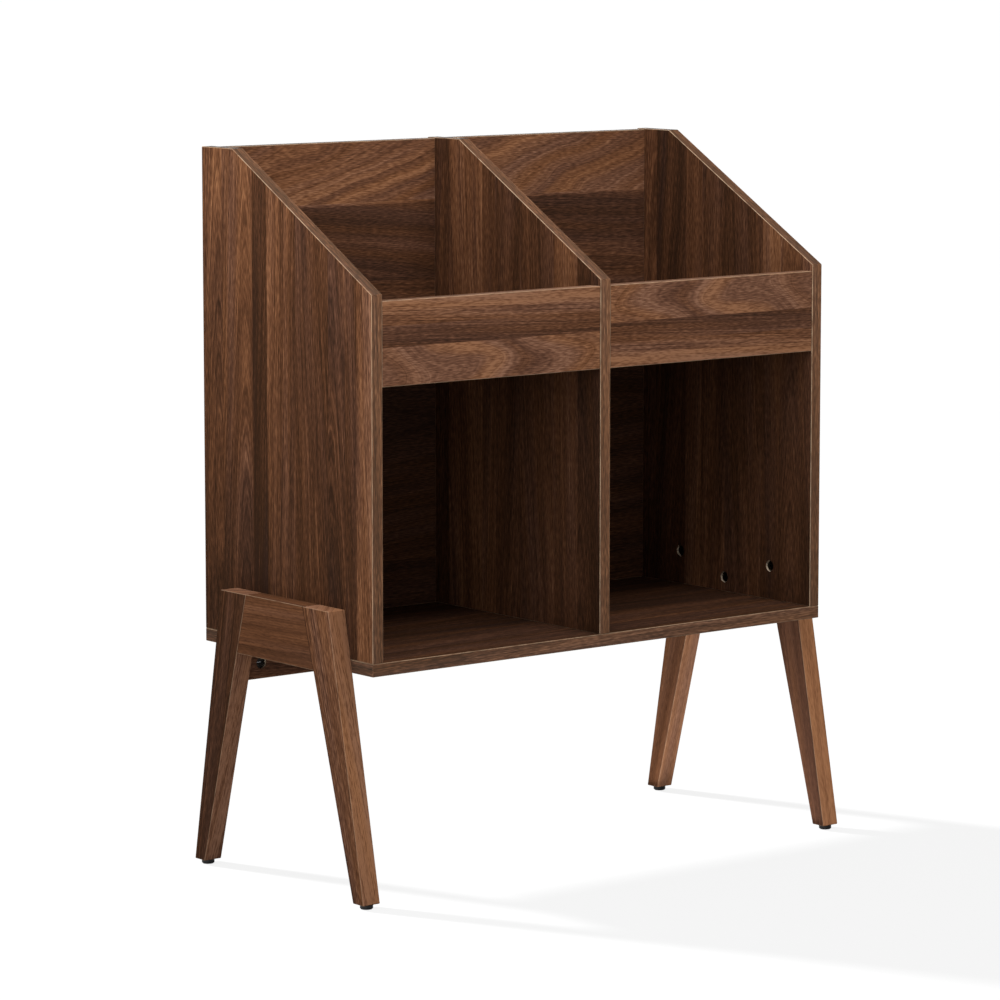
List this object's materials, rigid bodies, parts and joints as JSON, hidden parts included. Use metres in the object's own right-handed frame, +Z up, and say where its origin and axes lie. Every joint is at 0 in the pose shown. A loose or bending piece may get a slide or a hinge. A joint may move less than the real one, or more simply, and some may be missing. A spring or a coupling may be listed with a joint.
{
  "type": "record storage bench",
  "caption": "Free-standing record cabinet with sloping-sided upper bins over open cubbies, carried on splayed tapered trestle legs with levelling feet.",
  "frame": {"origin": "on the floor, in the middle of the part's box", "axes": "+Z up, +X to the right seen from the front, the open front faces -Y"},
  "size_m": [0.775, 0.3607, 0.9],
  "materials": {
    "upright_veneer": "satin walnut veneer, upright grain",
    "level_veneer": "satin walnut veneer, level grain",
    "leg_wood": "satin walnut-stained wood, grain along the leg",
    "crosspiece_wood": "satin walnut-stained wood, level grain",
    "foot_plastic": "matt black",
    "zinc_steel": "zinc plated",
    "cast_zinc": "dull cast zinc",
    "black_steel": "black oxide",
    "pale_dowel": "plain beech"
  },
  "bodies": {
    "cabinet": {"left_side_panel": "upright_veneer", "right_side_panel": "upright_veneer", "center_divider": "upright_veneer", "left_bin_floor": "level_veneer", "right_bin_floor": "level_veneer", "left_front_board": "level_veneer", "right_front_board": "level_veneer", "left_back_panel": "level_veneer", "right_back_panel": "level_veneer", "bottom_panel": "level_veneer", "rear_stretcher": "level_veneer", "left_front_leg": "leg_wood", "left_back_leg": "leg_wood", "right_front_leg": "leg_wood", "right_back_leg": "leg_wood", "left_crosspiece": "crosspiece_wood", "right_crosspiece": "crosspiece_wood", "foot_inserts": "zinc_steel", "trestle_bolts": "black_steel", "trestle_inserts": "zinc_steel", "bottom_screws": "zinc_steel", "cam_locks": "cast_zinc", "cam_bolts": "zinc_steel", "divider_cam_bolts": "zinc_steel", "crosspiece_dowels": "pale_dowel"},
    "left_front_foot": {"left_front_foot_pad": "foot_plastic", "left_front_foot_stem": "zinc_steel"},
    "left_back_foot": {"left_back_foot_pad": "foot_plastic", "left_back_foot_stem": "zinc_steel"},
    "right_front_foot": {"right_front_foot_pad": "foot_plastic", "right_front_foot_stem": "zinc_steel"},
    "right_back_foot": {"right_back_foot_pad": "foot_plastic", "right_back_foot_stem": "zinc_steel"}
  },
  "joints": [
    {"name": "left_front_foot_screw", "type": "slide", "parent": "cabinet", "child": "left_front_foot", "axis": [0, 0, -1], "range_m": [0, 0.01]},
    {"name": "left_back_foot_screw", "type": "slide", "parent": "cabinet", "child": "left_back_foot", "axis": [0, 0, -1], "range_m": [0, 0.01]},
    {"name": "right_front_foot_screw", "type": "slide", "parent": "cabinet", "child": "right_front_foot", "axis": [0, 0, -1], "range_m": [0, 0.01]},
    {"name": "right_back_foot_screw", "type": "slide", "parent": "cabinet", "child": "right_back_foot", "axis": [0, 0, -1], "range_m": [0, 0.01]}
  ]
}
